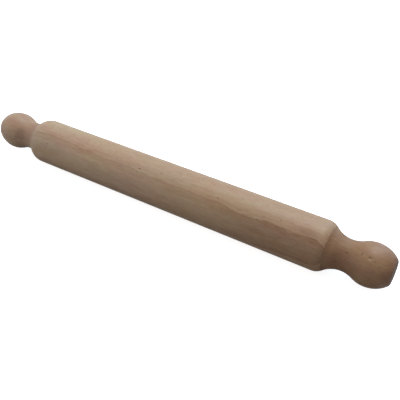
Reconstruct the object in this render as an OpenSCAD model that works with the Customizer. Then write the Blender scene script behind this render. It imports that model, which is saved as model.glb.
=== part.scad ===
// Rolling pin of turned beech: a straight barrel with a knobbed handle glued to each end.
// Each joint is held by a fluted dowel that sits half in the barrel and half in the handle.
// The pin lies along X, and +Z is up. The origin is on the turning axis, half way along.
// A profile is a list of [place along the axis, radius] points, and is spun round the axis.

/* [Overall] */
// Length of the whole pin, over both end faces
overall_l = 430; // [426:2:434]

/* [Barrel] */
// Length of the barrel, from one glue joint to the other
barrel_l = 322; // [318:2:326]
// Diameter of the straight rolling surface
barrel_d = 45; // [44:0.5:47]
// Radius that rounds the barrel over at both ends
shoulder_r = 12.5; // [10:0.5:15]
// Slope that the rounded shoulder has reached at the glue joint, in degrees
shoulder_slope = 41; // [36:1:44]

/* [Handles] */
// Slope at which the hollow of the handle leaves the glue joint, in degrees
cove_slope = 41; // [38:1:44]
// Diameter of the neck, the thinnest place of a handle
neck_d = 27.8; // [26.6:0.2:28.6]
// Diameter of the knob, the thickest place past the neck
knob_d = 37.6; // [37:0.2:40]
// Radius of the knob's outline, seen from the side
knob_r = 24.5; // [24:0.5:26]
// Chamfer on the rim of the flat end face
end_chamfer = 0.6; // [0.2:0.1:1]
// Diameter of the mark that the lathe centre left in the end face
centre_mark_d = 2.4; // [1:0.2:3]

/* [Glue joint] */
// Chamfer on both rims of the joint, which leaves a fine groove all round
joint_chamfer = 0.15; // [0.05:0.05:0.4]
// Diameter of the bores for the dowel
bore_d = 12; // [8:1:16]
// Gap for glue between the dowel and its bores, all round
glue_gap = 0.05; // [0.02:0.01:0.15]
// Length of a dowel
dowel_l = 60; // [40:2:72]
// Spare depth of a bore past the end of its dowel
bore_spare = 1.5; // [0.5:0.5:3]
// Chamfer on the ends of a dowel
dowel_chamfer = 1; // [0.5:0.1:2]
// Number of glue flutes along a dowel
flute_count = 12; // [6:1:18]
// Radius of the round cutter that makes a flute
flute_r = 0.6; // [0.3:0.05:0.8]

/* [Colours] */
// Colour of the barrel
barrel_colour = "#AA8C6D"; // color
// Colour of the handles
handle_colour = "#967252"; // color
// Colour of the dowels
dowel_colour = "#C9AC8C"; // color

/* [Hidden] */

// Sides of a full turn, and degrees of an arc between two points of a profile
turn_sides = 96;
arc_step = 2.5;

// Angle between the two sides of the point that a drill leaves at the bottom of a bore
drill_point = 118;

// Depth of the cone that the lathe centre left
centre_mark_depth = 1.2;

// Places along the axis
end_x = overall_l / 2;
joint_x = barrel_l / 2;
shoulder_x = joint_x - shoulder_r * sin(shoulder_slope);

// Radius of both pieces where they meet
joint_r = barrel_d / 2 - shoulder_r * (1 - cos(shoulder_slope));

// The hollow starts at the joint with its own slope and runs level at the neck
cove_r = (joint_r - neck_d / 2) / (1 - cos(cove_slope));
neck_x = joint_x + cove_r * sin(cove_slope);
cove_centre_r = neck_d / 2 + cove_r;

// Radius of the hollow just past the chamfer at the joint
cove_start_r = cove_centre_r - sqrt(pow(cove_r, 2) - pow(neck_x - joint_x - joint_chamfer, 2));

// The knob's arc touches the hollow's arc, so their centres lie both radii apart
knob_centre_r = knob_d / 2 - knob_r;
knob_x = neck_x + sqrt(pow(cove_r + knob_r, 2) - pow(cove_centre_r - knob_centre_r, 2));
meet_angle = atan2(cove_centre_r - knob_centre_r, neck_x - knob_x);
end_angle = acos((end_x - knob_x) / knob_r);

// The end face, inside its chamfer
end_r = knob_centre_r + knob_r * sin(end_angle);

// Points of an arc round [cx, cr], from angle a0 to angle a1
function arc(cx, cr, r, a0, a1) =
    let (steps = ceil(abs(a1 - a0) / arc_step))
    [for (i = [0:steps])
        let (a = a0 + (a1 - a0) * i / steps)
        [cx + r * cos(a), cr + r * sin(a)]];

// One half of the barrel's outline, from the middle to the glue joint
function barrel_half() = concat(
    [for (p = arc(shoulder_x, barrel_d / 2 - shoulder_r, shoulder_r, 90, 90 - shoulder_slope))
        if (p[0] < joint_x - joint_chamfer) p],
    [[joint_x - joint_chamfer, joint_r + joint_chamfer * tan(shoulder_slope)],
     [joint_x, joint_r - joint_chamfer]]);

// The outline of the right handle, from the glue joint to the end face
function handle_side() = concat(
    [[joint_x, joint_r - joint_chamfer], [joint_x + joint_chamfer, cove_start_r]],
    [for (p = arc(neck_x, cove_centre_r, cove_r, -90 - cove_slope, meet_angle - 180))
        if (p[0] > joint_x + joint_chamfer) p],
    [for (p = arc(knob_x, knob_centre_r, knob_r, meet_angle, end_angle))
        if (p[0] < end_x - end_chamfer && p[1] < cove_centre_r) p],
    [[end_x, end_r - end_chamfer]]);

// Spins a profile round the X axis
module turned(profile) {
    rotate([0, 90, 0])
        rotate_extrude($fn = turn_sides)
            polygon([for (p = profile) [p[1], p[0]]]);
}

// The space of a blind bore that starts at the joint and runs depth_sign * depth along X
module dowel_bore(depth_sign) {
    depth = dowel_l / 2 + bore_spare;
    point_l = bore_d / 2 / tan(drill_point / 2);
    translate([joint_x, 0, 0])
        rotate([0, 90 * depth_sign, 0]) {
            translate([0, 0, -1])
                cylinder(h = depth + 1, d = bore_d, $fn = turn_sides);
            translate([0, 0, depth])
                cylinder(h = point_l, d1 = bore_d, d2 = 0, $fn = turn_sides);
        }
}

// The right-hand pieces. Their twins on the left are mirrored.
module handle_solid() {
    difference() {
        turned(concat([[joint_x, 0]], handle_side(), [[end_x, 0]]));
        dowel_bore(1);
        translate([end_x - centre_mark_depth, 0, 0])
            rotate([0, 90, 0])
                cylinder(h = centre_mark_depth, d1 = 0, d2 = centre_mark_d, $fn = turn_sides / 2);
    }
}

module dowel_solid() {
    dowel_r = bore_d / 2 - glue_gap;
    half = dowel_l / 2;
    difference() {
        translate([joint_x, 0, 0])
            turned([
                [-half, 0],
                [-half, dowel_r - dowel_chamfer],
                [-half + dowel_chamfer, dowel_r],
                [half - dowel_chamfer, dowel_r],
                [half, dowel_r - dowel_chamfer],
                [half, 0]
            ]);
        for (i = [0:flute_count - 1])
            rotate([i * 360 / flute_count, 0, 0])
                translate([joint_x - half - 1, 0, dowel_r + flute_r / 3])
                    rotate([0, 90, 0])
                        cylinder(h = dowel_l + 2, r = flute_r, $fn = 24);
    }
}

module barrel() {
    half = barrel_half();
    other_half = [for (i = [len(half) - 1:-1:0]) [-half[i][0], half[i][1]]];
    color(barrel_colour)
        difference() {
            turned(concat([[-joint_x, 0]], other_half, half, [[joint_x, 0]]));
            dowel_bore(-1);
            mirror([1, 0, 0])
                dowel_bore(-1);
        }
}

module right_handle() {
    color(handle_colour)
        handle_solid();
}

module left_handle() {
    color(handle_colour)
        mirror([1, 0, 0])
            handle_solid();
}

module right_dowel() {
    color(dowel_colour)
        dowel_solid();
}

module left_dowel() {
    color(dowel_colour)
        mirror([1, 0, 0])
            dowel_solid();
}

barrel();
left_handle();
right_handle();
left_dowel();
right_dowel();
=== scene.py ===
"""Looks of a turned beech rolling pin, built round its CAD frame.

The barrel and both handles are turned again as finer meshes, each with its marks of wear, and every
piece gets solid beech: growth rings round a pith, rays, fibres, pores and end grain.
"""

import math
from collections import namedtuple

import bpy
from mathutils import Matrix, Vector


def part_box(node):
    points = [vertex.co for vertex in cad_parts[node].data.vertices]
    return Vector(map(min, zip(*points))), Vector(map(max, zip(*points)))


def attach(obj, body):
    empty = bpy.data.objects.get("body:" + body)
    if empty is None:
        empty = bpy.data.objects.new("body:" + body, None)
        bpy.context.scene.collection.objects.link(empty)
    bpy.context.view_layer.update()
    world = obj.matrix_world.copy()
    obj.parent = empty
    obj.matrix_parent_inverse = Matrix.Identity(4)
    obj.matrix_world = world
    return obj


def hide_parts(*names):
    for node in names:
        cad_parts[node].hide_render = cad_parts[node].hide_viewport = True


bl_info = {
    "name": "Beech Rolling Pin",
    "version": (1, 0, 0),
    "blender": (4, 5, 0),
    "location": "View3D > Sidebar > Rolling Pin",
    "description": "Turns a beech rolling pin with a knobbed handle glued to each end",
    "category": "Add Mesh",
}

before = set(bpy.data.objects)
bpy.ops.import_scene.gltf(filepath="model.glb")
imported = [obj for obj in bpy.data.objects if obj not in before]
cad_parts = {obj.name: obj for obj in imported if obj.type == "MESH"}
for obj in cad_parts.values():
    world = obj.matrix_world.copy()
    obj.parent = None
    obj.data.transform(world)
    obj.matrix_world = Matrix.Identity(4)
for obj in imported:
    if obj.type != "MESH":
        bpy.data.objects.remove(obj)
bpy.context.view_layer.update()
BARREL_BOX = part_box("barrel")
LEFT_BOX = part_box("left_handle")
RIGHT_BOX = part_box("right_handle")

BODY = "root"
MM = 0.001

# Sides of a full turn, and roughly the step between two rings of the straight barrel
TURN_SIDES = 144
RING_STEP = 2 * MM

# Steps along each stretch of the outline, and round a sanded corner
SHOULDER_STEPS = 10
COVE_STEPS = 28
KNOB_STEPS = 34
END_FACE_STEPS = 4
CENTRE_MARK_STEPS = 3
CORNER_STEPS = 3

# Angle between both sides of a drill's point
DRILL_POINT = math.radians(118)

# Cuts across the faces round a dent
DENT_CUTS = 3

# Points closer than this are one point
SAME_POINT = 0.001 * MM

# Faces that meet at more than this keep a crisp edge between them
CRISP_ANGLE = math.radians(16)

# One blank that a piece is cut from: the side that its pith lies on, as an angle from +Z towards -Y,
# the pith's distance from the turning axis, its lean along the piece, the width of a growth ring,
# and a place in the patterns that no other blank shares
Blank = namedtuple("Blank", "pith_side pith_away lean ring_width patch")

# Darker wood from one growth ring inwards. Its edge and all widths are distances from the pith.
# A dark band of some width lies along the edge, and the wood past it stays darker from one place
# along the piece to the other
Heart = namedtuple("Heart", "edge band_width band_strength zone_start zone_end zone_strength")

# A mark on the surface, or a dent pressed into it, placed along the piece and at an angle from +Z
# towards -Y. Angles are in degrees, and the rest is in millimetres. A dark patch is a large soft mark
Mark = namedtuple("Mark", "x angle length width strength")
Dent = namedtuple("Dent", "x angle radius depth")

# Wood before it is finished: its material and nodes, the place on it and the values that vary over it
Grain = namedtuple("Grain", "material wood place x mottle colour roughness height")

# A soft lamp that aims at the middle of the pin. Azimuth 0 is on the -Y side and 90 on the +X side,
# in degrees. Its level is how bright it alone shows a white surface that faces it
Lamp = namedtuple("Lamp", "name azimuth elevation distance size level tint")

# Waves in a metre along the piece and in both directions across it
SLOW_SWAY_WAVES = (13, 50, 50)
QUICK_SWAY_WAVES = (60, 240, 240)
FEATHER_WAVES = (85, 330, 330)
FIBRE_WAVES = (100, 650, 650)
FINE_WAVES = (150, 4200, 4200)
MOTTLE_WAVES = (80, 250, 250)
PATCH_WAVES = (14, 60, 60)
RAGGED_WAVES = (350, 900, 900)

# Cells in a metre: of pores along and across the piece, and of rays along it, round and out of the pith
PORE_CELLS = (420, 3000, 3000)
RAY_CELLS = (330, 1300, 70)

# How near its cell's middle a pore or ray starts to fade, and where it is gone
PORE_FADE = (0.10, 0.30)
RAY_FADE = (0.12, 0.34)

# How far the pith wanders, the rings are feathered and the edge of a mark is ragged
SLOW_SWAY = 6 * MM
QUICK_SWAY = 2 * MM
FEATHERING = 6 * MM
RAGGEDNESS = (3 * MM, 1.6 * MM, 1.6 * MM)

# How much each pattern darkens the wood, from 0 for light to 1 for dark wood
BASE_TONE = 0.15
PATCH_TONE = 0.42
MOTTLE_TONE = 0.7
RAY_TONE = 0.24
FINE_TONE = 0.1
PORE_TONE = 0.16
END_RING_TONE = 0.4

# How much two patterns shift the wood's hue
PATCH_HUE = 0.1
MOTTLE_HUE = 0.08

# How far a surface faces along the piece where end grain starts to show, and where it counts as a
# sawn end face, and how much of the sawn look such a face takes
END_GRAIN_FACING = 0.35
END_FACE_FACING = 0.9
END_FACE_SHARE = 0.7

# How much the finest pattern and the rays show on a sawn end face
SAWN_FINE_TONE = 0.5
SAWN_RAY_TONE = 0.4

# The share of a ring at which its dark late wood starts to break off, the strength of the weakest
# ring, and how much stronger the strongest one is
LATE_WOOD_END = 0.8
WEAKEST_RING = 0.6
RING_RANGE = 2.2

# The stretch over which the heart's edge sets in, and the shares of its band's width between which
# the band fades out
HEART_EDGE_FADE = 1.5 * MM
HEART_BAND_FADE = (0.4, 1.6)

# The share of a mark's reach over which it keeps its full strength
MARK_CORE = 0.3

# What each pattern adds to the roughness
FIBRE_ROUGHNESS = 0.10
END_GRAIN_ROUGHNESS = 0.12
END_FACE_ROUGHNESS = 0.25
MARK_ROUGHNESS = 0.4
HOLLOW_ROUGHNESS = 0.2

# Painted shade: the barrel darkens from one end of this stretch to the other, towards its right end
RIGHT_SHADE_START = -0.16
RIGHT_SHADE_END = 0.16

# How the dirt in the groove of a joint and the painted shade in the hollow past it rise and fade with
# the distance from the joint, and how strong both are
GROOVE_FADE = (0.1 * MM, 0.6 * MM)
GROOVE_GAPS = (0.35, 0.65)
GROOVE_DIRT = 0.14
HOLLOW_RISE = (1 * MM, 8 * MM)
HOLLOW_FADE = (8 * MM, 26 * MM)
HOLLOW_PAINTED_SHADE = 0.16

# How high the relief of the grain stands, how strongly it shows, and what each pattern adds to it
RELIEF_HEIGHT = 0.06 * MM
RELIEF_STRENGTH = 0.5
FIBRE_RELIEF = 0.35
FINE_RELIEF = 0.4
RAY_RELIEF = -0.15
PORE_RELIEF = -0.2
MARK_RELIEF = -1.2


def linear(code):
    """The linear colour of an sRGB code such as B4987C"""
    parts = [int(code[i : i + 2], 16) / 255 for i in (0, 2, 4)]
    return tuple(p / 12.92 if p <= 0.04045 else ((p + 0.055) / 1.055) ** 2.4 for p in parts)


def length_setting(name, description, default):
    """A size in metres that the panel shows"""
    return bpy.props.FloatProperty(
        name=name, description=description, default=default, min=0.0, precision=5, unit="LENGTH"
    )


def angle_setting(name, description, degrees):
    """An angle that the panel shows"""
    return bpy.props.FloatProperty(
        name=name, description=description, default=math.radians(degrees), subtype="ANGLE"
    )


def share_setting(name, description, default):
    """A share from 0 to 1 that the panel shows"""
    return bpy.props.FloatProperty(
        name=name, description=description, default=default, min=0.0, max=1.0, subtype="FACTOR"
    )


def colour_setting(name, description, code):
    """A colour that the panel shows"""
    return bpy.props.FloatVectorProperty(
        name=name,
        description=description,
        default=linear(code),
        size=3,
        min=0.0,
        max=1.0,
        subtype="COLOR",
    )


class PinSizes(bpy.types.PropertyGroup):
    """Sizes of the turned pieces"""

    overall_length: length_setting(
        "Overall length", "Length over both end faces", RIGHT_BOX[1].x - LEFT_BOX[0].x
    )
    barrel_length: length_setting(
        "Barrel length", "From one glue joint to the other", BARREL_BOX[1].x - BARREL_BOX[0].x
    )
    barrel_diameter: length_setting(
        "Barrel diameter", "Diameter of the rolling surface", -2 * BARREL_BOX[0].z
    )
    shoulder_radius: length_setting(
        "Shoulder radius", "Rounds the barrel over at both ends", 12.5 * MM
    )
    shoulder_slope: angle_setting("Shoulder slope", "Slope of the shoulder at the joint", 41)
    cove_slope: angle_setting("Cove slope", "Slope at which the hollow leaves the joint", 41)
    neck_diameter: length_setting("Neck diameter", "Thinnest place of a handle", 27.8 * MM)
    knob_diameter: length_setting("Knob diameter", "Thickest place past the neck", 37.6 * MM)
    knob_radius: length_setting("Knob radius", "Radius of the knob's outline", 24.5 * MM)
    end_chamfer: length_setting("End chamfer", "Chamfer round an end face", 0.6 * MM)
    joint_chamfer: length_setting("Joint chamfer", "Chamfer on both rims of a joint", 0.15 * MM)
    bore_diameter: length_setting("Bore diameter", "Diameter of the dowel bores", 12 * MM)
    bore_depth: length_setting("Bore depth", "Depth of a bore without its point", 31.5 * MM)
    centre_mark: length_setting(
        "Centre mark", "Diameter of the mark that the lathe centre left", 2.4 * MM
    )
    rounding: length_setting(
        "Edge rounding", "How far sanding has rounded an edge back", 0.1 * MM
    )


class BeechLook(bpy.types.PropertyGroup):
    """Colours and strengths of the beech"""

    barrel_light: colour_setting("Barrel, light wood", "Early wood of the barrel", "B79C80")
    barrel_dark: colour_setting("Barrel, dark wood", "Late wood and heart of the barrel", "8A694B")
    # Painted shade: this colour darkens the barrel towards its right end
    right_end_shade: colour_setting("Barrel, right end", "Tints the barrel at its right end", "EEE4D8")
    left_light: colour_setting("Left handle, light wood", "Early wood", "AF9073")
    left_dark: colour_setting("Left handle, dark wood", "Late wood", "7F5D44")
    right_light: colour_setting("Right handle, light wood", "Early wood", "98714F")
    right_dark: colour_setting("Right handle, dark wood", "Late wood", "68442E")
    dowel_light: colour_setting("Dowel, light wood", "Early wood of a dowel", "D6BC9C")
    dowel_dark: colour_setting("Dowel, dark wood", "Late wood of a dowel", "B28F6C")
    # This colour also paints the shade in the hollow past each joint
    mark_and_shade_colour: colour_setting("Marks", "Dark flecks, and dirt in a groove", "4A3223")
    # This colour darkens large soft patches at the listed places on the pieces
    dark_patch_colour: colour_setting("Stains", "Large soft stains that hands have left", "5A3424")
    end_grain: colour_setting("End grain", "Tints wood that is cut across its grain", "B7A492")
    fibre_contrast: share_setting("Fibres", "Contrast of the lengthwise fibres", 0.16)
    ring_contrast: share_setting("Rings", "Contrast of the growth rings", 0.12)
    roughness: share_setting("Roughness", "Roughness of the sanded surface", 0.5)


def settings():
    """The sizes and colours that the panel holds"""
    scene = bpy.context.scene
    return scene.pin_sizes, scene.pin_beech


class Turning:
    """Places and radii of the turned outline, worked out from the sizes"""

    def __init__(self, sizes):
        self.sizes = sizes
        self.barrel_r = sizes.barrel_diameter / 2
        self.end_x = sizes.overall_length / 2
        self.joint_x = sizes.barrel_length / 2
        self.shoulder_x = self.joint_x - sizes.shoulder_radius * math.sin(sizes.shoulder_slope)
        drop = sizes.shoulder_radius * (1 - math.cos(sizes.shoulder_slope))
        self.joint_r = self.barrel_r - drop

        # The hollow starts at the joint with its own slope and runs level at the neck
        neck_r = sizes.neck_diameter / 2
        self.cove_r = (self.joint_r - neck_r) / (1 - math.cos(sizes.cove_slope))
        self.neck_x = self.joint_x + self.cove_r * math.sin(sizes.cove_slope)
        self.cove_centre_r = neck_r + self.cove_r

        # The knob's arc touches the hollow's arc, so their centres lie both radii apart
        self.knob_centre_r = sizes.knob_diameter / 2 - sizes.knob_radius
        reach = self.cove_r + sizes.knob_radius
        rise = self.cove_centre_r - self.knob_centre_r
        self.knob_x = self.neck_x + math.sqrt(reach**2 - rise**2)
        self.meet_angle = math.atan2(self.knob_x - self.neck_x, rise)

        # The knob's arc stops at the chamfer, and the end face lies inside it
        end_angle = math.asin((self.end_x - self.knob_x) / sizes.knob_radius)
        self.end_r = self.knob_centre_r + sizes.knob_radius * math.cos(end_angle)
        rim_reach = self.end_x - sizes.end_chamfer - self.knob_x
        self.rim_angle = math.asin(rim_reach / sizes.knob_radius)

        # A bore ends in the cone that a drill's point leaves
        self.bore_r = sizes.bore_diameter / 2
        self.bore_point = self.bore_r / math.tan(DRILL_POINT / 2)

    def handle_radius(self, x):
        """Radius of either handle's outline at x"""
        x = abs(x)
        if x < self.neck_x + self.cove_r * math.sin(self.meet_angle):
            return self.cove_centre_r - math.sqrt(self.cove_r**2 - (x - self.neck_x) ** 2)
        return self.knob_centre_r + math.sqrt(self.sizes.knob_radius**2 - (x - self.knob_x) ** 2)


def pick_only(piece):
    """Leaves edit mode, selects one object and makes it the active one"""
    if bpy.context.mode != "OBJECT":
        bpy.ops.object.mode_set(mode="OBJECT")
    bpy.ops.object.select_all(action="DESELECT")
    piece.select_set(True)
    bpy.context.view_layer.objects.active = piece


def pick_points(piece, wanted):
    """Selects the vertices whose place passes a test, and goes to edit mode"""
    pick_only(piece)
    bpy.ops.object.mode_set(mode="EDIT")
    bpy.ops.mesh.select_mode(type="VERT")
    bpy.ops.mesh.select_all(action="DESELECT")
    bpy.ops.object.mode_set(mode="OBJECT")
    for vertex in piece.data.vertices:
        vertex.select = wanted(vertex.co)
    bpy.ops.object.mode_set(mode="EDIT")


class Outline:
    """Draws half of a turning's outline in the XZ plane, point by point, with the edit-mode tools"""

    def __init__(self, name, x, radius):
        bpy.ops.object.select_all(action="DESELECT")
        bpy.ops.mesh.primitive_plane_add(size=MM, location=(x, 0, radius))
        bpy.ops.object.transform_apply(location=True)
        self.piece = bpy.context.object
        self.piece.name = name
        self.piece.data.name = name
        self.x = x
        self.radius = radius
        self.corners = []
        bpy.ops.object.mode_set(mode="EDIT")
        bpy.ops.mesh.merge(type="CENTER")

    def line(self, x, radius, steps=1):
        """A straight stretch to a new place"""
        step = ((x - self.x) / steps, 0, (radius - self.radius) / steps)
        for _ in range(steps):
            bpy.ops.mesh.extrude_region_move(TRANSFORM_OT_translate={"value": step})
        self.x = x
        self.radius = radius

    def corner(self, x, radius):
        """A straight stretch to a corner that is rounded when the outline is finished"""
        self.line(x, radius)
        self.corners.append(Vector((x, 0, radius)))

    def arc(self, centre_x, centre_radius, angle, steps):
        """An arc round a centre, where a positive angle turns from +Z towards +X"""
        centre = (centre_x, 0, centre_radius)
        bpy.ops.mesh.spin(steps=steps, angle=-angle, center=centre, axis=(0, 1, 0))
        away_x = self.x - centre_x
        away_r = self.radius - centre_radius
        self.x = centre_x + away_x * math.cos(angle) + away_r * math.sin(angle)
        self.radius = centre_radius - away_x * math.sin(angle) + away_r * math.cos(angle)

    def round_corners(self, rounding):
        """Rounds the outline's corners, as fine sandpaper does"""
        corners = self.corners
        pick_points(self.piece, lambda co: any((co - c).length < SAME_POINT for c in corners))
        bpy.ops.mesh.bevel(offset=rounding, segments=CORNER_STEPS, affect="VERTICES")
        bpy.ops.object.mode_set(mode="OBJECT")

    def turn(self):
        """Spins the outline round the X axis into a closed solid"""
        pick_points(self.piece, lambda co: True)
        bpy.ops.mesh.spin(
            steps=TURN_SIDES,
            angle=math.tau,
            center=(0, 0, 0),
            axis=(1, 0, 0),
            use_auto_merge=True,
        )
        close_up(self.piece)
        return self.piece


def close_up(piece):
    """Merges doubled points, turns all faces outwards and smooths all but the crisp edges"""
    pick_points(piece, lambda co: True)
    bpy.ops.mesh.remove_doubles(threshold=SAME_POINT)
    bpy.ops.mesh.normals_make_consistent(inside=False)
    bpy.ops.object.mode_set(mode="OBJECT")
    bpy.ops.object.shade_smooth_by_angle(angle=CRISP_ANGLE)


def turned_barrel(turning):
    """One half of the barrel, from its bore to the middle, and its mirror image"""
    sizes = turning.sizes
    inner_x = turning.joint_x - sizes.bore_depth
    outline = Outline("beech_barrel", inner_x - turning.bore_point, 0)
    outline.line(inner_x, turning.bore_r)
    outline.corner(turning.joint_x, turning.bore_r)
    outline.corner(turning.joint_x, turning.joint_r - sizes.joint_chamfer)
    rise = sizes.joint_chamfer * math.tan(sizes.shoulder_slope)
    outline.corner(turning.joint_x - sizes.joint_chamfer, turning.joint_r + rise)

    # The straight chamfer leaves the shoulder's arc a little early
    shoulder_centre = turning.barrel_r - sizes.shoulder_radius
    reach = turning.joint_x - 2 * sizes.joint_chamfer - turning.shoulder_x
    start = math.asin(reach / sizes.shoulder_radius)
    outline.line(
        turning.shoulder_x + sizes.shoulder_radius * math.sin(start),
        shoulder_centre + sizes.shoulder_radius * math.cos(start),
    )
    outline.arc(turning.shoulder_x, shoulder_centre, -start, steps=SHOULDER_STEPS)
    outline.line(0, turning.barrel_r, steps=round(turning.shoulder_x / RING_STEP))
    outline.round_corners(sizes.rounding)
    barrel = outline.turn()
    mirror = barrel.modifiers.new("Other half", "MIRROR")
    mirror.use_axis = (True, False, False)
    mirror.merge_threshold = SAME_POINT
    bpy.ops.object.modifier_apply(modifier=mirror.name)
    close_up(barrel)
    return barrel


def turned_handle(turning):
    """The right handle, from its bore over cove and knob to the lathe's mark in the end face"""
    sizes = turning.sizes
    inner_x = turning.joint_x + sizes.bore_depth
    outline = Outline("right_beech_handle", inner_x + turning.bore_point, 0)
    outline.line(inner_x, turning.bore_r)
    outline.corner(turning.joint_x, turning.bore_r)
    outline.corner(turning.joint_x, turning.joint_r - sizes.joint_chamfer)

    # The cove's arc is drawn from the chamfer, and the knob's arc carries on where they touch
    start = math.asin((turning.neck_x - turning.joint_x - sizes.joint_chamfer) / turning.cove_r)
    outline.corner(
        turning.neck_x - turning.cove_r * math.sin(start),
        turning.cove_centre_r - turning.cove_r * math.cos(start),
    )
    sweep = start + turning.meet_angle
    outline.arc(turning.neck_x, turning.cove_centre_r, -sweep, steps=COVE_STEPS)
    sweep = turning.meet_angle + turning.rim_angle
    outline.arc(turning.knob_x, turning.knob_centre_r, sweep, steps=KNOB_STEPS)
    outline.corners.append(Vector((outline.x, 0, outline.radius)))
    outline.corner(turning.end_x, turning.end_r - sizes.end_chamfer)

    # The mark is a cone as deep as its radius
    mark_r = sizes.centre_mark / 2
    outline.line(turning.end_x, 3 * mark_r, steps=END_FACE_STEPS)
    outline.corner(turning.end_x, mark_r)
    outline.line(turning.end_x - mark_r, 0, steps=CENTRE_MARK_STEPS)
    outline.round_corners(sizes.rounding)
    return outline.turn()


def mirrored_copy(piece, name):
    """A copy of a piece on the other side of the middle, with a mesh of its own"""
    pick_only(piece)
    bpy.ops.object.duplicate(linked=False)
    copy = bpy.context.object
    copy.name = name
    copy.data.name = name
    bpy.ops.transform.resize(value=(-1, 1, 1), center_override=(0, 0, 0))
    bpy.ops.object.transform_apply(location=True, rotation=True, scale=True)
    close_up(copy)
    return copy


def surface_place(x, angle, radius):
    """The place at x along the pin, at an angle from +Z towards -Y, and at a radius"""
    return Vector((x, -radius * math.sin(angle), radius * math.cos(angle)))


def press_dents(piece, dents):
    """Presses dents into a piece: fine faces first, then a soft push towards the axis"""
    for dent in dents:
        angle = math.radians(dent.angle)
        outwards = surface_place(0, angle, 1)
        line_to = surface_place(dent.x * MM, angle, 0)

        def beside(co, reach):
            away = co - line_to
            along = away.dot(outwards)
            return along > 0 and (away - outwards * along).length < reach * MM

        pick_points(piece, lambda co: beside(co, 2 * dent.radius))
        bpy.ops.mesh.subdivide(number_cuts=DENT_CUTS)
        bpy.ops.object.mode_set(mode="OBJECT")
        near = [v for v in piece.data.vertices if beside(v.co, dent.radius)]
        outer = max(v.co.dot(outwards) for v in near)
        for vertex in near:
            away = vertex.co - line_to
            along = away.dot(outwards)
            if along < outer - dent.radius * MM:
                continue
            share = (away - outwards * along).length / (dent.radius * MM)
            vertex.co -= outwards * dent.depth * MM * (1 - share**2) ** 2
        close_up(piece)


class Value:
    """A number that varies over a surface. Arithmetic on it adds Math nodes to its tree"""

    def __init__(self, nodes, socket):
        self.nodes = nodes
        self.socket = socket

    def math(self, operation, *others):
        return self.nodes.math(operation, self, *others)

    def __add__(self, other):
        return self.math("ADD", other)

    def __sub__(self, other):
        return self.math("SUBTRACT", other)

    def __rsub__(self, other):
        return self.nodes.math("SUBTRACT", other, self)

    def __mul__(self, other):
        return self.math("MULTIPLY", other)

    def __truediv__(self, other):
        return self.math("DIVIDE", other)

    def __pow__(self, other):
        return self.math("POWER", other)

    __radd__ = __add__
    __rmul__ = __mul__

    def __abs__(self):
        return self.math("ABSOLUTE")

    def ramp(self, low, high):
        """0 at low, 1 at high, and a smooth rise between them"""
        settings = {"interpolation_type": "SMOOTHSTEP"}
        inputs = {"Value": self, "From Min": low, "From Max": high}
        return self.nodes.value("MapRange", settings, inputs)


class Nodes:
    """Builds the node tree of one material or world"""

    def __init__(self, owner):
        owner.use_nodes = True
        self.tree = owner.node_tree
        self.tree.nodes.clear()

    def node(self, kind, settings=None, inputs=None):
        """Adds a node: its settings come first, then the values or links of its sockets"""
        node = self.tree.nodes.new("ShaderNode" + kind)
        for name, setting in (settings or {}).items():
            setattr(node, name, setting)
        for name, value in (inputs or {}).items():
            if isinstance(value, Value):
                value = value.socket
            if isinstance(value, bpy.types.NodeSocket):
                self.tree.links.new(value, node.inputs[name])
            else:
                node.inputs[name].default_value = value
        return node

    def value(self, kind, settings=None, inputs=None, output=0):
        """Adds a node and gives one of its outputs as a number"""
        return Value(self, self.node(kind, settings, inputs).outputs[output])

    def math(self, operation, *values):
        return self.value("Math", {"operation": operation}, dict(enumerate(values)))

    def vector(self, operation, a, b):
        settings = {"operation": operation}
        return self.node("VectorMath", settings, {0: a, 1: b}).outputs[0]

    def length(self, vector):
        return self.value("VectorMath", {"operation": "LENGTH"}, {0: vector}, output=1)

    def mix(self, share, a, b, blend="MIX"):
        """A colour between two others"""
        settings = {"data_type": "RGBA", "blend_type": blend}
        return self.node("Mix", settings, {0: share, 6: a, 7: b}).outputs[2]

    def split(self, vector):
        parts = self.node("SeparateXYZ", inputs={0: vector}).outputs
        return [Value(self, part) for part in parts]

    def join(self, x, y, z):
        return self.node("CombineXYZ", inputs={0: x, 1: y, 2: z}).outputs[0]

    def noise(self, place, stretch, detail=2.0, roughness=0.5):
        """Noise with so many waves in a metre along each axis: its number and its colour"""
        inputs = {
            "Vector": self.vector("MULTIPLY", place, stretch),
            "Scale": 1.0,
            "Detail": detail,
            "Roughness": roughness,
        }
        outputs = self.node("TexNoise", inputs=inputs).outputs
        return Value(self, outputs[0]), outputs[1]

    def specks(self, place, stretch):
        """Distance to the nearest of many scattered points"""
        inputs = {"Vector": self.vector("MULTIPLY", place, stretch), "Scale": 1.0}
        return self.value("TexVoronoi", inputs=inputs)


def opaque(colour):
    """A colour with the alpha that a colour socket asks for"""
    return (*colour, 1.0)


def grey(level):
    return (level, level, level, 1.0)


def across_the_grain(wood, place, shifted, blank):
    """The place measured from the pith, which never runs quite straight"""
    x, y, z = wood.split(place)
    side = math.radians(blank.pith_side)
    _, slow = wood.noise(shifted, SLOW_SWAY_WAVES)
    _, quick = wood.noise(shifted, QUICK_SWAY_WAVES)
    _, slow_y, slow_z = wood.split(slow)
    _, quick_y, quick_z = wood.split(quick)
    sway_y = (slow_y - 0.5) * SLOW_SWAY + (quick_y - 0.5) * QUICK_SWAY
    sway_z = (slow_z - 0.5) * SLOW_SWAY + (quick_z - 0.5) * QUICK_SWAY
    pith_y = -blank.pith_away * math.sin(side)
    pith_z = blank.pith_away * math.cos(side)
    across_y = y + x * (math.sin(side) * blank.lean) - pith_y + sway_y
    across_z = z - x * (math.cos(side) * blank.lean) - pith_z + sway_z
    depth = (across_y * across_y + across_z * across_z) ** 0.5
    return x, across_y, across_z, depth


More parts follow.
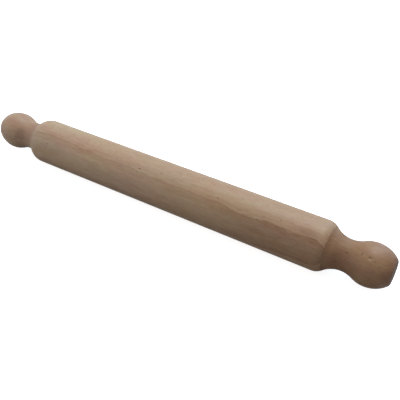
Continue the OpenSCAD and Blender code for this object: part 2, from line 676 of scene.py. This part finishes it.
def ray_sheets(wood, x, across_y, across_z, depth, blank):
    """Rays: thin upright sheets that show as spindles on one side and as ribbons on the other"""
    mean_depth = blank.pith_away + 20 * MM
    round_pith = wood.math("ARCTAN2", across_y, across_z) * mean_depth
    sheet = wood.vector("ADD", wood.join(x, round_pith, depth), blank.patch)
    return 1 - wood.specks(sheet, RAY_CELLS).ramp(*RAY_FADE)


def ring_tone(wood, feathered, blank):
    """Each ring darkens outwards up to its edge, some rings more than others"""
    growth = feathered / blank.ring_width
    through = wood.math("FRACT", growth)
    number = wood.math("FLOOR", growth) + blank.patch[0]
    weight = wood.value("TexWhiteNoise", {"noise_dimensions": "1D"}, {"W": number})
    late_wood = through**3 * (1 - through.ramp(LATE_WOOD_END, 1.0))
    return late_wood * (weight * RING_RANGE + WEAKEST_RING)


def heart_tone(wood, x, feathered, heart):
    """Darker wood from the heart's edge inwards"""
    inside = heart.edge - feathered
    edge = inside.ramp(0, HEART_EDGE_FADE)
    fade_start, fade_end = (share * heart.band_width for share in HEART_BAND_FADE)
    band = edge * (1 - inside.ramp(fade_start, fade_end))
    zone = edge * x.ramp(heart.zone_start, heart.zone_end)
    return band * heart.band_strength + zone * heart.zone_strength


def mark_mask(wood, place, marks, radius):
    """Where one of the listed marks lies, with ragged edges"""
    _, ragged = wood.noise(place, RAGGED_WAVES)
    shake = wood.vector("SUBTRACT", ragged, (0.5, 0.5, 0.5))
    shake = wood.vector("MULTIPLY", shake, RAGGEDNESS)
    place = wood.vector("ADD", place, shake)
    total = None
    for mark in marks:
        centre = surface_place(mark.x * MM, math.radians(mark.angle), radius(mark.x * MM))
        reach = (mark.length * MM / 2, mark.width * MM / 2, mark.width * MM / 2)
        away = wood.vector("DIVIDE", wood.vector("SUBTRACT", place, centre), reach)
        mask = (1 - wood.length(away).ramp(MARK_CORE, 1.0)) * mark.strength
        total = mask if total is None else wood.math("MAXIMUM", total, mask)
    return total


def beech(name, look, blank, light, dark, end_tint=1.0, heart=None, right_shade_tint=None):
    """Solid beech cut from a blank: its nodes, and the values that the finish goes on with"""
    material = bpy.data.materials.new(name)
    wood = Nodes(material)
    coordinates = wood.node("TexCoord").outputs
    place = coordinates["Object"]
    shifted = wood.vector("ADD", place, blank.patch)
    x, across_y, across_z, depth = across_the_grain(wood, place, shifted, blank)

    # Fibres feather the edges of the rings along the piece
    feather, _ = wood.noise(shifted, FEATHER_WAVES, detail=3, roughness=0.6)
    feathered = depth + (feather - 0.5) * FEATHERING
    rings = ring_tone(wood, feathered, blank)

    fibres, _ = wood.noise(shifted, FIBRE_WAVES, detail=3, roughness=0.6)
    fine, _ = wood.noise(shifted, FINE_WAVES)
    mottle, blotches = wood.noise(shifted, MOTTLE_WAVES, detail=3, roughness=0.6)
    patches, tints = wood.noise(shifted, PATCH_WAVES)
    rays = ray_sheets(wood, x, across_y, across_z, depth, blank)
    pores = 1 - wood.specks(shifted, PORE_CELLS).ramp(*PORE_FADE)

    # Wood drinks light, and shows its rings, where the turning cuts across its grain
    facing, _, _ = wood.split(coordinates["Normal"])
    end_grain = abs(facing).ramp(END_GRAIN_FACING, 1.0)

    tone = rings * (end_grain * END_RING_TONE + look.ring_contrast)
    tone = tone + (fibres - 0.5) * (2 * look.fibre_contrast) + (patches - 0.5) * PATCH_TONE
    tone = tone + (mottle - 0.5) * MOTTLE_TONE + rays * RAY_TONE + (fine - 0.5) * FINE_TONE
    tone = tone + pores * PORE_TONE + BASE_TONE
    if heart is not None:
        tone = tone + heart_tone(wood, x, feathered, heart)
    tone = wood.math("MINIMUM", wood.math("MAXIMUM", tone, 0.0), 1.0)
    colour = wood.mix(tone, opaque(light), opaque(dark))
    colour = wood.mix(PATCH_HUE, colour, tints, blend="OVERLAY")
    colour = wood.mix(MOTTLE_HUE, colour, blotches, blend="OVERLAY")
    # Painted shade: the barrel darkens towards its right end
    if right_shade_tint is not None:
        stretch = {"Value": x, "From Min": RIGHT_SHADE_START, "From Max": RIGHT_SHADE_END}
        right_shade_share = wood.value("MapRange", inputs=stretch)
        colour = wood.mix(right_shade_share, colour, wood.mix(1.0, colour, opaque(right_shade_tint), "MULTIPLY"))
    tinted = wood.mix(1.0, colour, opaque(look.end_grain), "MULTIPLY")
    colour = wood.mix(end_grain * end_tint, colour, tinted)

    # A sawn end face is darker still, and its rings are plainest
    end_face = abs(facing).ramp(END_FACE_FACING, 1.0)
    sawn = wood.mix(1.0, opaque(dark), opaque(look.end_grain), "MULTIPLY")
    sawn_tone = rings + (fine - 0.5) * SAWN_FINE_TONE + rays * SAWN_RAY_TONE
    sawn = wood.mix(sawn_tone, opaque(dark), sawn)
    colour = wood.mix(end_face * END_FACE_SHARE, colour, sawn)

    roughness = look.roughness + (fibres - 0.5) * FIBRE_ROUGHNESS
    roughness = roughness + end_grain * END_GRAIN_ROUGHNESS + end_face * END_FACE_ROUGHNESS
    height = fibres * FIBRE_RELIEF + fine * FINE_RELIEF + rays * RAY_RELIEF + pores * PORE_RELIEF
    return Grain(material, wood, place, x, mottle, colour, roughness, height)


def finished(grain, look, turning=None, marks=(), dark_patches=(), radius=None):
    """The grain with its dark patches, its marks, the dirty groove of its joint and the painted shade
    in the hollow past it, as a material
    """
    wood = grain.wood
    colour = grain.colour
    roughness = grain.roughness
    height = grain.height
    # Large soft darker patches at the listed places
    if dark_patches:
        mask = mark_mask(wood, grain.place, dark_patches, radius)
        colour = wood.mix(mask, colour, opaque(look.dark_patch_colour))
    if marks:
        mask = mark_mask(wood, grain.place, marks, radius)
        colour = wood.mix(mask, colour, opaque(look.mark_and_shade_colour))
        roughness = roughness + mask * MARK_ROUGHNESS
        height = height + mask * MARK_RELIEF
    if turning is not None:
        # Dirt and old glue in the fine groove of a joint, and painted shade in the hollow past it
        past_joint = abs(grain.x) - turning.joint_x
        groove = (1 - abs(past_joint).ramp(*GROOVE_FADE)) * grain.mottle.ramp(*GROOVE_GAPS)
        hollow = past_joint.ramp(*HOLLOW_RISE) * (1 - past_joint.ramp(*HOLLOW_FADE))
        dirt_and_shade = groove * GROOVE_DIRT + hollow * HOLLOW_PAINTED_SHADE
        colour = wood.mix(dirt_and_shade, colour, opaque(look.mark_and_shade_colour))
        roughness = roughness + hollow * HOLLOW_ROUGHNESS
    relief = {"Strength": RELIEF_STRENGTH, "Distance": RELIEF_HEIGHT, "Height": height}
    bump = wood.node("Bump", inputs=relief)
    inputs = {
        "Base Color": colour,
        "Roughness": roughness,
        "Normal": bump.outputs[0],
        "IOR": 1.5,
        "Sheen Weight": 0.1,
        "Sheen Roughness": 0.4,
    }
    surface = wood.node("BsdfPrincipled", inputs=inputs)
    wood.node("OutputMaterial", inputs={"Surface": surface.outputs[0]})
    return grain.material


# The blanks, the marks that wear has left, and large soft dark patches
BARREL_BLANK = Blank(75, 60 * MM, 0.017, 3.4 * MM, (0.7, 0.8, 1.9))
RIGHT_BLANK = Blank(150, 45 * MM, 0.02, 2.8 * MM, (7.3, 1.1, 0.9))
LEFT_BLANK = Blank(-110, 52 * MM, -0.015, 3.1 * MM, (5.9, 2.3, 1.7))
DOWEL_BLANK = Blank(30, 80 * MM, 0.0, 2.2 * MM, (1.7, 0.6, 2.9))
BARREL_HEART = Heart(45.0 * MM, 4.5 * MM, 0.26, 0.03, 0.12, 0.36)

BARREL_MARKS = (
    Mark(-24.5, 32, 3.0, 1.8, 0.6),
    Mark(-26, 40, 4.0, 1.4, 0.35),
    Mark(13, 27, 3.4, 1.4, 0.4),
    Mark(-1.5, 24.5, 5.0, 1.2, 0.25),
    Mark(60, 31.5, 3.6, 2.2, 0.45),
    Mark(83, 39, 6.0, 1.4, 0.3),
    Mark(100.5, 44.5, 3.4, 1.6, 0.5),
    Mark(120, 29, 2.6, 1.8, 0.4),
    Mark(120, 43.5, 7.0, 1.3, 0.3),
    Mark(-136, 55, 3.2, 1.5, 0.45),
    Mark(-94.5, 28.5, 4.0, 1.3, 0.4),
    Mark(-76.5, 39.5, 3.6, 1.4, 0.35),
    Mark(151, 42, 7.0, 1.4, 0.45),
    Mark(141, 36, 5.0, 1.2, 0.25),
)
RIGHT_MARKS = (
    Mark(177.5, 40.5, 4.2, 1.9, 0.6),
    Mark(189.5, 31, 1.6, 5.0, 0.5),
    Mark(196, 34, 3.6, 1.7, 0.6),
    Mark(201, 39, 6.0, 1.6, 0.3),
    Mark(188, 52, 9.0, 1.8, 0.22),
    # Darkens the end face's rim where a small chip is; the chip is not cut into the mesh, so this mark
    # paints the chip's shade along with its colour
    Mark(214.2, -76, 3.6, 4.2, 1.0),
)
LEFT_MARKS = (Mark(-186.5, 77.5, 1.8, 1.6, 0.5),)
BARREL_DARK_PATCHES = (Mark(-134, 56, 70.0, 24.0, 0.12), Mark(146, 32, 28.0, 9.0, 0.22))
RIGHT_DARK_PATCHES = (Mark(180, 76, 36.0, 36.0, 0.28), Mark(204, 80, 30.0, 30.0, 0.14))
LEFT_DARK_PATCHES = (Mark(-181, 62, 17.0, 20.0, 0.34),)
BARREL_DENTS = (Dent(-24.5, 33, 1.6, 0.12), Dent(60, 32.5, 1.8, 0.15))
RIGHT_DENTS = (Dent(196.5, 36, 2.2, 0.5), Dent(177.5, 41.5, 1.7, 0.2))

LAMPS = (
    Lamp("window", 170, 65, 1.6, 1.0, 0.66, (0.95, 1.01, 1.10)),
    Lamp("back_glow", 165, 28, 1.6, 1.0, 0.14, (0.5, 1.02, 1.45)),
    Lamp("left_fill", -60, 14, 1.6, 1.0, 0.14, (1.0, 1.0, 1.0)),
    Lamp("left_back", -120, 35, 1.6, 1.0, 0.03, (1.0, 1.0, 1.0)),
    Lamp("front_fill", 0, 12, 1.6, 1.0, 0.06, (1.0, 1.0, 1.0)),
)

# Light from all round, and how much of it the floor gives back
WORLD_LEVEL = 0.37
FLOOR_LEVEL = 0.15

# The paper as it is seen: its own grey, and a glow that makes it white
FLOOR_SIZE = 6
PAPER_GREY = 0.8
PAPER_GLOW = 0.84

# The camera, by the place that it looks at. Lens and sensor are in millimetres
CAMERA_AIM = Vector((34.704, -0.593, -0.651)) * MM
CAMERA_AZIMUTH = math.radians(32.1306)
CAMERA_ELEVATION = math.radians(37.6492)
CAMERA_DISTANCE = 530.266 * MM
CAMERA_LENS = 51.902
CAMERA_SENSOR = 36
CAMERA_CLIP = 10 * MM


def dress(piece, material, slot, *nodes):
    """Gives a piece its finish and its place in the frame"""
    piece.data.materials.clear()
    piece.data.materials.append(material)
    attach(piece, BODY)
    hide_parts(*nodes)


def away_from(aim, azimuth, elevation, distance):
    """The place at a distance from an aim, seen at an azimuth and elevation"""
    flat = math.cos(elevation)
    direction = Vector((math.sin(azimuth) * flat, -math.cos(azimuth) * flat, math.sin(elevation)))
    return aim + direction * distance


def aimed(place, aim):
    """The rotation that makes a lamp or camera look at its aim"""
    return (aim - place).to_track_quat("-Z", "Y").to_euler()


def lay_floor():
    """A pale floor under the barrel, white where it is seen and dull where it would light the wood"""
    bpy.ops.object.select_all(action="DESELECT")
    bpy.ops.mesh.primitive_plane_add(size=FLOOR_SIZE, location=(0, 0, BARREL_BOX[0].z))
    bpy.ops.object.transform_apply(location=True)
    floor = bpy.context.object
    floor.name = "studio_floor"
    material = bpy.data.materials.new("studio_paper")
    paper = Nodes(material)
    seen = paper.node("LightPath").outputs
    mirrored = paper.math("MAXIMUM", seen["Is Glossy Ray"], seen["Is Transmission Ray"])
    card = paper.node("BsdfDiffuse", inputs={"Color": grey(PAPER_GREY)})
    dull = paper.node("BsdfDiffuse", inputs={"Color": grey(FLOOR_LEVEL)})
    unseen = paper.node("MixShader", inputs={0: mirrored, 1: dull.outputs[0], 2: card.outputs[0]})
    glow = paper.node("Emission", inputs={"Color": grey(1.0), "Strength": PAPER_GLOW})
    white = paper.node("AddShader", inputs={0: glow.outputs[0], 1: card.outputs[0]})
    camera_ray = seen["Is Camera Ray"]
    surface = paper.node("MixShader", inputs={0: camera_ray, 1: unseen.outputs[0], 2: white.outputs[0]})
    paper.node("OutputMaterial", inputs={"Surface": surface.outputs[0]})
    floor.data.materials.append(material)


def hang_lamps():
    """The soft lamps round the pin"""
    middle = Vector((0, 0, 0))
    for lamp in LAMPS:
        azimuth = math.radians(lamp.azimuth)
        place = away_from(middle, azimuth, math.radians(lamp.elevation), lamp.distance)
        bpy.ops.object.light_add(type="AREA", location=place, rotation=aimed(place, middle))
        light = bpy.context.object
        light.name = lamp.name
        light.visible_camera = False
        light.data.shape = "DISK"
        light.data.size = lamp.size
        light.data.color = lamp.tint

        # A disk of this power lights a facing white surface to the lamp's level
        light.data.energy = math.pi**2 * lamp.distance**2 * lamp.level


def set_world():
    """White surroundings where they are seen or mirrored, and a weaker light from all round"""
    world = bpy.data.worlds.new("studio")
    bpy.context.scene.world = world
    sky = Nodes(world)
    seen = sky.node("LightPath").outputs
    white = sky.math("MAXIMUM", seen["Is Camera Ray"], seen["Is Glossy Ray"])
    white = sky.math("MAXIMUM", white, seen["Is Transmission Ray"])
    strength = white * (1 - WORLD_LEVEL) + WORLD_LEVEL
    background = sky.node("Background", inputs={"Color": grey(1.0), "Strength": strength})
    sky.node("OutputWorld", inputs={"Surface": background.outputs[0]})


def set_camera():
    """The camera of the photograph's view"""
    place = away_from(CAMERA_AIM, CAMERA_AZIMUTH, CAMERA_ELEVATION, CAMERA_DISTANCE)
    bpy.ops.object.camera_add(location=place, rotation=aimed(place, CAMERA_AIM))
    camera = bpy.context.object
    camera.name = "view_camera"
    camera.data.lens = CAMERA_LENS
    camera.data.sensor_width = CAMERA_SENSOR
    camera.data.clip_start = CAMERA_CLIP
    bpy.context.scene.camera = camera


class PIN_OT_stage(bpy.types.Operator):
    """Sets up the camera, the pale floor and the soft lamps"""

    bl_idname = "pin.stage"
    bl_label = "Set the stage"

    def execute(self, context):
        set_camera()
        lay_floor()
        hang_lamps()
        set_world()
        context.scene.view_settings.view_transform = "Standard"
        return {"FINISHED"}


class PIN_OT_barrel(bpy.types.Operator):
    """Turns the barrel, with its rounded shoulders and its two dowel bores"""

    bl_idname = "pin.barrel"
    bl_label = "Turn the barrel"

    def execute(self, context):
        sizes, look = settings()
        turning = Turning(sizes)
        barrel = turned_barrel(turning)
        press_dents(barrel, BARREL_DENTS)
        grain = beech(
            "barrel_beech",
            look,
            BARREL_BLANK,
            look.barrel_light,
            look.barrel_dark,
            end_tint=0.25,
            heart=BARREL_HEART,
            right_shade_tint=look.right_end_shade,
        )
        wood = finished(
            grain, look, turning, BARREL_MARKS, BARREL_DARK_PATCHES, lambda x: turning.barrel_r
        )
        dress(barrel, wood, "barrel_beech", "barrel")
        return {"FINISHED"}


class PIN_OT_handles(bpy.types.Operator):
    """Turns the right handle and copies it to the left end"""

    bl_idname = "pin.handles"
    bl_label = "Turn the handles"

    def execute(self, context):
        sizes, look = settings()
        turning = Turning(sizes)
        right = turned_handle(turning)
        left = mirrored_copy(right, "left_beech_handle")
        press_dents(right, RIGHT_DENTS)
        grain = beech("right_beech", look, RIGHT_BLANK, look.right_light, look.right_dark)
        wood = finished(
            grain, look, turning, RIGHT_MARKS, RIGHT_DARK_PATCHES, turning.handle_radius
        )
        dress(right, wood, "handle_beech", "right_handle")
        grain = beech("left_beech", look, LEFT_BLANK, look.left_light, look.left_dark)
        wood = finished(grain, look, turning, LEFT_MARKS, LEFT_DARK_PATCHES, turning.handle_radius)
        dress(left, wood, "handle_beech", "left_handle")
        return {"FINISHED"}


class PIN_OT_dowels(bpy.types.Operator):
    """Gives the two hidden dowels their raw beech"""

    bl_idname = "pin.dowels"
    bl_label = "Finish the dowels"

    def execute(self, context):
        _, look = settings()
        grain = beech("dowel_beech", look, DOWEL_BLANK, look.dowel_light, look.dowel_dark)
        wood = finished(grain, look)
        for name in ("left_dowel", "right_dowel"):
            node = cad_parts[name]
            node.data.materials.clear()
            node.data.materials.append(wood)
        return {"FINISHED"}


class PIN_PT_panel(bpy.types.Panel):
    """Lists the sizes, the colours and the steps"""

    bl_idname = "PIN_PT_panel"
    bl_label = "Rolling Pin"
    bl_space_type = "VIEW_3D"
    bl_region_type = "UI"
    bl_category = "Rolling Pin"

    def draw(self, context):
        for group in (context.scene.pin_sizes, context.scene.pin_beech):
            box = self.layout.box()
            for name in group.__annotations__:
                box.prop(group, name)
        for step in STEPS:
            self.layout.operator(step.bl_idname)


STEPS = (PIN_OT_stage, PIN_OT_barrel, PIN_OT_handles, PIN_OT_dowels)
CLASSES = (PinSizes, BeechLook, *STEPS, PIN_PT_panel)


def register():
    for each in CLASSES:
        bpy.utils.register_class(each)
    bpy.types.Scene.pin_sizes = bpy.props.PointerProperty(type=PinSizes)
    bpy.types.Scene.pin_beech = bpy.props.PointerProperty(type=BeechLook)


def unregister():
    del bpy.types.Scene.pin_beech
    del bpy.types.Scene.pin_sizes
    for each in reversed(CLASSES):
        bpy.utils.unregister_class(each)


def main():
    register()
    bpy.ops.pin.stage()
    bpy.ops.pin.barrel()
    bpy.ops.pin.handles()
    bpy.ops.pin.dowels()


if __name__ == "__main__":
    main()
